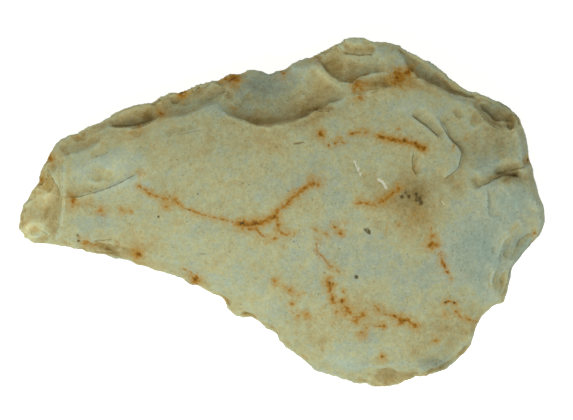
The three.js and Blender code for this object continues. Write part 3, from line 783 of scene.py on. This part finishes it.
chertLook = {
    # colours from grey-green through sage and khaki to ochre, as the yellowness rises
    "ground": [
        (0.0, "#7d8c7c"), (0.28, "#8f977f"), (0.42, "#999a74"),
        (0.6, "#988d61"), (0.8, "#8b7945"), (1.0, "#735625"),
    ],
    "groundFrom": -1.3,          # yellowness of the first colour and of the last
    "groundTo": 1.8,
    # unevenness: what it changes, size in mm, strength
    "mottling": [
        ("yellow", 13, 0.65), ("yellow", 4.5, 0.65), ("yellow", 1.3, 0.6), ("yellow", 0.6, 0.5),
        ("light", 9, 0.2), ("light", 2.4, 0.24), ("light", 0.9, 0.44), ("light", 0.45, 0.5),
    ],
    # in hollows the colour turns more ochre, and darker as painted shade; on ridges it turns lighter as
    # painted light
    "hollowTintAndShade": {"yellow": 1.9, "light": -1.4},   # per millimetre of hollow
    "edgeTint": 0.4,             # more ochre at the cutting edge
    "edgeTintWidth": 4.5,
    "contrast": 0.44,
    # stains, and the painted shadow along the cracks: field, raggedness, where the colour starts and
    # where it is full, most, colour
    "stainsAndCrackShadow": [
        ("ironGlow", 0.8, 0.08, 1.0, 0.75, "#98752c"),
        ("iron", 1.5, -0.05, 0.8, 0.95, "#8a5e10"),
        ("iron", 1.9, 0.65, 1.25, 0.85, "#5a3906"),
        ("speck", 1.0, 0.0, 0.6, 0.9, "#453a1c"),
        ("pepper", 0.0, 0.62, 0.74, 0.4, "#4c4522"),
        # dark line along the cracks: partly dirt, partly painted shadow of the step walls
        ("crack", 0.6, 0.15, 0.8, 0.65, "#5f4f22"),
        ("scratch", 0.4, 0.0, 0.6, 0.75, "#bfc3b0"),
    ],
    "raggedSize": 1.2,
    "raggedSeed": 20,
    "crackHalfWidth": 0.38,
    "crackStray": 0.5,
    "pepperSize": 0.6,
    "pepperSeed": 21,
    "specular": 0.1,
    "roughness": (0.6, 0.75),    # where the sheen's noise is at sheenFrom and at sheenTo
    "sheenFrom": 0.3,
    "sheenTo": 0.7,
    "sheenSize": 3,
    "grain": [(0.45, 0.03), (1.6, 0.07)],   # size and height of the bumps, mm
}


def makeChert():
    # chert with patina: matt, waxy, fine mottling, iron soaked into it along cracks, and painted shade in
    # its hollows, along its cracks and on faces turned from the light, with painted light on ridges and
    # on a face turned towards it
    chert = bpy.data.materials.new("patinated chert with painted shade")
    chert.use_nodes = True
    tree = chert.node_tree
    shader = tree.nodes["Principled BSDF"]
    place = addNode(tree, "TexCoord", {}, output="Object")
    names = (
        "yellow", "light", "hollow", "edgeGap", "ironGlow", "iron", "speck", "scratch",
        "crackSide", "crackShare",
    )
    field = {}
    for name in names:
        field[name] = addNode(tree, "Attribute", {}, output="Fac", attribute_name=name)

    # unevenness, hollows and the stained edge shift the ground colour and its lightness;
    # noise runs from 0 to 1, so it's counted from its middle and twice
    middle = 0.5
    for seed, (name, size, strength) in enumerate(chertLook["mottling"]):
        noise = {"Vector": place, "W": seed, "Scale": 1 / (size * mm), "Detail": 2, "Roughness": 0.5}
        mottle = addNode(tree, "TexNoise", noise, noise_dimensions="4D")
        mottle = addNode(tree, "Math", {0: mottle, 1: middle}, operation="SUBTRACT")
        mottle = {0: mottle, 1: 2 * strength, 2: field[name]}
        field[name] = addNode(tree, "Math", mottle, operation="MULTIPLY_ADD")
    # besides the ochre shift, hollows darken as painted shade and ridges lighten as painted light
    for name, tint in chertLook["hollowTintAndShade"].items():
        hollow = {0: field["hollow"], 1: tint, 2: field[name]}
        field[name] = addNode(tree, "Math", hollow, operation="MULTIPLY_ADD")
    nearEdge = {"Value": field["edgeGap"], "From Max": chertLook["edgeTintWidth"]}
    nearEdge.update({"To Min": chertLook["edgeTint"], "To Max": 0})
    nearEdge = addNode(tree, "MapRange", nearEdge, interpolation_type="SMOOTHSTEP")
    yellow = addNode(tree, "Math", {0: field["yellow"], 1: nearEdge}, operation="ADD")
    share = {"Value": yellow, "From Min": chertLook["groundFrom"], "From Max": chertLook["groundTo"]}
    colour = addNode(tree, "ValToRGB", {0: addNode(tree, "MapRange", share)}, output="Color")
    stops = colour.node.color_ramp.elements
    for position, hexColour in chertLook["ground"][1:-1]:
        stops.new(position)
    for stop, (position, hexColour) in zip(stops, chertLook["ground"]):
        stop.position = position
        stop.color = toLinear(hexColour)
    scale = {0: field["light"], 1: chertLook["contrast"], 2: 1}
    scale = addNode(tree, "Math", scale, operation="MULTIPLY_ADD")
    colour = addNode(tree, "VectorMath", {0: colour, "Scale": scale}, operation="SCALE")

    # stains, and the painted shadow along the cracks, each with a ragged outline
    ragged = {"Vector": place, "W": chertLook["raggedSeed"], "Detail": 3, "Roughness": 0.6}
    ragged["Scale"] = 1 / (chertLook["raggedSize"] * mm)
    ragged = addNode(tree, "TexNoise", ragged, noise_dimensions="4D")
    ragged = addNode(tree, "Math", {0: ragged, 1: middle}, operation="SUBTRACT")
    pepper = {"Vector": place, "W": chertLook["pepperSeed"], "Detail": 1}
    pepper["Scale"] = 1 / (chertLook["pepperSize"] * mm)
    field["pepper"] = addNode(tree, "TexNoise", pepper, noise_dimensions="4D")
    side = {0: ragged, 1: chertLook["crackStray"], 2: field["crackSide"]}
    side = addNode(tree, "Math", side, operation="MULTIPLY_ADD")
    side = addNode(tree, "Math", {0: side}, operation="ABSOLUTE")
    line = {"Value": side, "From Max": chertLook["crackHalfWidth"], "To Min": 1, "To Max": 0}
    line = addNode(tree, "MapRange", line)
    field["crack"] = addNode(tree, "Math", {0: line, 1: field["crackShare"]}, operation="MULTIPLY")
    for name, roughness, start, full, most, hexColour in chertLook["stainsAndCrackShadow"]:
        stain = {0: ragged, 1: 2 * roughness, 2: field[name]}
        stain = addNode(tree, "Math", stain, operation="MULTIPLY_ADD")
        share = {"Value": stain, "From Min": start, "From Max": full, "To Max": most}
        share = addNode(tree, "MapRange", share, interpolation_type="SMOOTHSTEP")
        mixed = {0: share, 6: colour, 7: toLinear(hexColour)}    # the factor and the two colours
        colour = addNode(tree, "Mix", mixed, output=2, data_type="RGBA")
    tree.links.new(colour, shader.inputs["Base Color"])

    # surface
    shader.inputs["Specular IOR Level"].default_value = chertLook["specular"]
    low, high = chertLook["roughness"]
    sheen = addNode(tree, "TexNoise", {"Vector": place, "Scale": 1 / (chertLook["sheenSize"] * mm)})
    sheen = {"Value": sheen, "From Min": chertLook["sheenFrom"], "From Max": chertLook["sheenTo"]}
    sheen.update({"To Min": low, "To Max": high})
    tree.links.new(addNode(tree, "MapRange", sheen), shader.inputs["Roughness"])
    grain = 0.0
    for size, height in chertLook["grain"]:
        bumps = addNode(tree, "TexNoise", {"Vector": place, "Scale": 1 / (size * mm), "Detail": 2})
        grain = addNode(tree, "Math", {0: bumps, 1: height, 2: grain}, operation="MULTIPLY_ADD")
    bump = addNode(tree, "Bump", {"Height": grain, "Distance": mm, "Strength": 1.0})
    tree.links.new(bump, shader.inputs["Normal"])
    return chert


stone = makeStone()
stone.data.materials.append(makeChert())
print("chert made")


studio = {
    "lens": 300,
    "sensor": 36,
    "clipEnd": 20,               # metres
    "viewWidth": 162.9,          # width of the picture at the height of the sharp edge
    "aim": (1.5, 0.53, 17.5),
    "keyPlace": (-190, -470, 950),
    "keySize": 500,
    "keyPower": 9.2,
    "worldStrength": 0.5,
    "floorHalf": 3,              # metres
    "floorColour": "#b8b8b8",
    "floorRoughness": 0.9,
    "floorGlow": 0.8,
}


def makeFloor():
    shape = bmesh.new()
    bmesh.ops.create_grid(shape, x_segments=1, y_segments=1, size=studio["floorHalf"])
    mesh = bpy.data.meshes.new("floor")
    shape.to_mesh(mesh)
    shape.free()
    floor = bpy.data.objects.new("floor", mesh)
    bpy.context.scene.collection.objects.link(floor)
    paint = bpy.data.materials.new("matt white board")
    paint.use_nodes = True
    shader = paint.node_tree.nodes["Principled BSDF"]
    shader.inputs["Base Color"].default_value = toLinear(studio["floorColour"])
    shader.inputs["Roughness"].default_value = studio["floorRoughness"]
    shader.inputs["Emission Color"].default_value = toLinear("#ffffff")
    shader.inputs["Emission Strength"].default_value = studio["floorGlow"]
    mesh.materials.append(paint)


def makeKey():
    light = bpy.data.lights.new("key", "AREA")
    light.shape = "DISK"
    light.size = studio["keySize"] * mm
    light.energy = studio["keyPower"]
    key = bpy.data.objects.new("key", light)
    bpy.context.scene.collection.objects.link(key)
    key.location = Vector(studio["keyPlace"]) * mm
    key.rotation_euler = (-key.location).to_track_quat("-Z", "Y").to_euler()


def makeWorld():
    world = bpy.data.worlds.new("studio")
    world.use_nodes = True
    world.node_tree.nodes["Background"].inputs["Color"].default_value = toLinear("#ffffff")
    world.node_tree.nodes["Background"].inputs["Strength"].default_value = studio["worldStrength"]
    bpy.context.scene.world = world


def makeCamera():
    data = bpy.data.cameras.new("camera")
    data.lens = studio["lens"]
    data.sensor_width = studio["sensor"]
    data.clip_end = studio["clipEnd"]
    camera = bpy.data.objects.new("camera", data)
    bpy.context.scene.collection.objects.link(camera)
    x, y, z = studio["aim"]
    distance = studio["viewWidth"] * studio["lens"] / data.sensor_width
    camera.location = Vector((x, y, z + distance)) * mm
    bpy.context.scene.camera = camera


makeFloor()
makeKey()
makeWorld()
makeCamera()
bpy.context.scene.view_settings.view_transform = "Standard"
print("studio ready")
